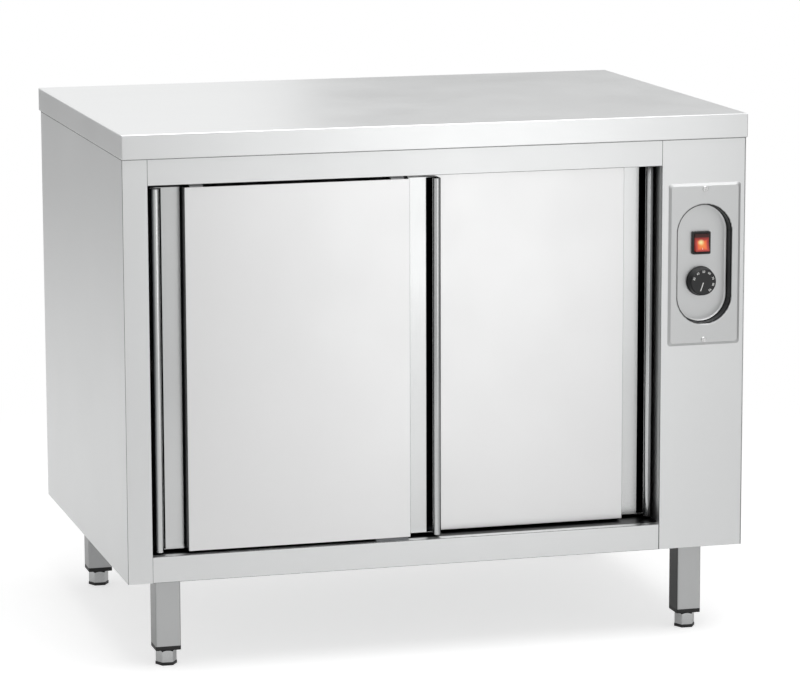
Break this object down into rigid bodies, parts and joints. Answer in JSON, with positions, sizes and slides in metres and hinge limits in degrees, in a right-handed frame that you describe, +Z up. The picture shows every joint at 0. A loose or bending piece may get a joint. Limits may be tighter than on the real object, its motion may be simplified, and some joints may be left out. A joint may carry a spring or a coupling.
{
  "type": "plate warmer cabinet",
  "caption": "Free-standing heated cabinet for plates, stainless sheet, with top-hung sliding doors, a shelf, a fan heater and a recessed switch and thermostat.",
  "frame": {"origin": "on the floor under the middle of the worktop", "axes": "+X to the right as the user faces the doors, front towards -Y, +Z up"},
  "size_m": [1, 0.7, 0.838],
  "materials": {
    "worktop_steel": "fine brushed stainless steel",
    "body_steel": "satin stainless steel",
    "back_steel": "mill finish stainless steel",
    "lining_steel": "mill finish stainless steel",
    "door_pan_steel": "satin stainless steel",
    "door_panel_steel": "satin stainless steel",
    "plate_steel": "satin stainless steel, pressed",
    "track_steel": "bright stainless steel",
    "leg_steel": "satin stainless steel tube",
    "foot_steel": "turned bright steel",
    "screw_steel": "bright steel",
    "heater_steel": "heat tinted stainless tube",
    "fan_aluminium": "plain aluminium",
    "thermostat_metal": "zinc plated steel",
    "motor_enamel": "enamelled",
    "chipboard": "raw board",
    "wool": "mineral wool",
    "nylon": "moulded nylon",
    "black_plastic": "moulded, matt",
    "knob_plastic": "moulded, matt",
    "rocker_plastic": "translucent red, lit from inside",
    "terminal_ceramic": "moulded white"
  },
  "bodies": {
    "cabinet": {"worktop": "worktop_steel", "worktop_board": "chipboard", "side_panel_left": "body_steel", "side_panel_right": "body_steel", "top_rail": "body_steel", "bottom_rail": "body_steel", "control_column": "body_steel", "back_panel": "back_steel", "base_panel": "back_steel", "chamber_wall_left": "lining_steel", "chamber_wall_right": "lining_steel", "chamber_back": "lining_steel", "chamber_ceiling": "lining_steel", "chamber_floor": "lining_steel", "shelf": "lining_steel", "shelf_rails": "lining_steel", "air_baffle": "lining_steel", "insulation": "wool", "door_tracks": "track_steel", "door_guide": "nylon", "control_plate": "plate_steel", "control_plate_screws": "screw_steel", "leg_bolts": "screw_steel", "switch_housing": "black_plastic", "leg_plugs": "black_plastic", "cable_gland": "black_plastic", "thermostat_body": "thermostat_metal", "fan_motor": "motor_enamel", "heating_element": "heater_steel", "terminal_block": "terminal_ceramic", "leg_front_left": "leg_steel", "leg_front_right": "leg_steel", "leg_back_left": "leg_steel", "leg_back_right": "leg_steel"},
    "door_left": {"door_left_pan": "door_pan_steel", "door_left_panel": "door_panel_steel", "door_left_core": "wool", "door_left_hangers": "track_steel"},
    "door_right": {"door_right_pan": "door_pan_steel", "door_right_panel": "door_panel_steel", "door_right_core": "wool", "door_right_hangers": "track_steel"},
    "roller_left_a": {"roller_left_a": "nylon"},
    "roller_left_b": {"roller_left_b": "nylon"},
    "roller_right_a": {"roller_right_a": "nylon"},
    "roller_right_b": {"roller_right_b": "nylon"},
    "rocker": {"rocker": "rocker_plastic"},
    "knob": {"knob": "knob_plastic", "thermostat_spindle": "thermostat_metal"},
    "fan_impeller": {"fan_impeller": "fan_aluminium"},
    "foot_front_left": {"foot_front_left": "foot_steel", "pad_front_left": "black_plastic"},
    "foot_front_right": {"foot_front_right": "foot_steel", "pad_front_right": "black_plastic"},
    "foot_back_left": {"foot_back_left": "foot_steel", "pad_back_left": "black_plastic"},
    "foot_back_right": {"foot_back_right": "foot_steel", "pad_back_right": "black_plastic"}
  },
  "joints": [
    {"name": "door_left_slide", "type": "slide", "parent": "cabinet", "child": "door_left", "axis": [1, 0, 0], "range_m": [0, 0.354]},
    {"name": "door_right_slide", "type": "slide", "parent": "cabinet", "child": "door_right", "axis": [1, 0, 0], "range_m": [-0.354, 0]},
    {"name": "roller_left_a_spin", "type": "hinge", "parent": "door_left", "child": "roller_left_a", "pos_m": [-0.383, -0.322, 0.7788], "axis": [0, 1, 0], "range_deg": [0, 1971]},
    {"name": "roller_left_b_spin", "type": "hinge", "parent": "door_left", "child": "roller_left_b", "pos_m": [-0.067, -0.322, 0.7788], "axis": [0, 1, 0], "range_deg": [0, 1971]},
    {"name": "roller_right_a_spin", "type": "hinge", "parent": "door_right", "child": "roller_right_a", "pos_m": [-0.024, -0.289, 0.7788], "axis": [0, 1, 0], "range_deg": [-1971, 0]},
    {"name": "roller_right_b_spin", "type": "hinge", "parent": "door_right", "child": "roller_right_b", "pos_m": [0.292, -0.289, 0.7788], "axis": [0, 1, 0], "range_deg": [-1971, 0]},
    {"name": "rocker_tip", "type": "hinge", "parent": "cabinet", "child": "rocker", "pos_m": [0.431, -0.3315, 0.633], "axis": [1, 0, 0], "range_deg": [0, 16]},
    {"name": "knob_turn", "type": "hinge", "parent": "cabinet", "child": "knob", "pos_m": [0.431, -0.3275, 0.572], "axis": [0, 1, 0], "range_deg": [0, 300]},
    {"name": "fan_spin", "type": "hinge", "parent": "cabinet", "child": "fan_impeller", "pos_m": [0.364, 0.06, 0.322], "axis": [1, 0, 0], "continuous": true},
    {"name": "foot_front_left_screw", "type": "slide", "parent": "cabinet", "child": "foot_front_left", "axis": [0, 0, 1], "range_m": [-0.03, 0]},
    {"name": "foot_front_right_screw", "type": "slide", "parent": "cabinet", "child": "foot_front_right", "axis": [0, 0, 1], "range_m": [-0.03, 0]},
    {"name": "foot_back_left_screw", "type": "slide", "parent": "cabinet", "child": "foot_back_left", "axis": [0, 0, 1], "range_m": [-0.03, 0]},
    {"name": "foot_back_right_screw", "type": "slide", "parent": "cabinet", "child": "foot_back_right", "axis": [0, 0, 1], "range_m": [-0.03, 0]}
  ],
  "couplings": [
    {"joint": "roller_left_a_spin", "follows": "door_left_slide", "rad_per_m": 97.087},
    {"joint": "roller_left_b_spin", "follows": "door_left_slide", "rad_per_m": 97.087},
    {"joint": "roller_right_a_spin", "follows": "door_right_slide", "rad_per_m": 97.087},
    {"joint": "roller_right_b_spin", "follows": "door_right_slide", "rad_per_m": 97.087}
  ]
}
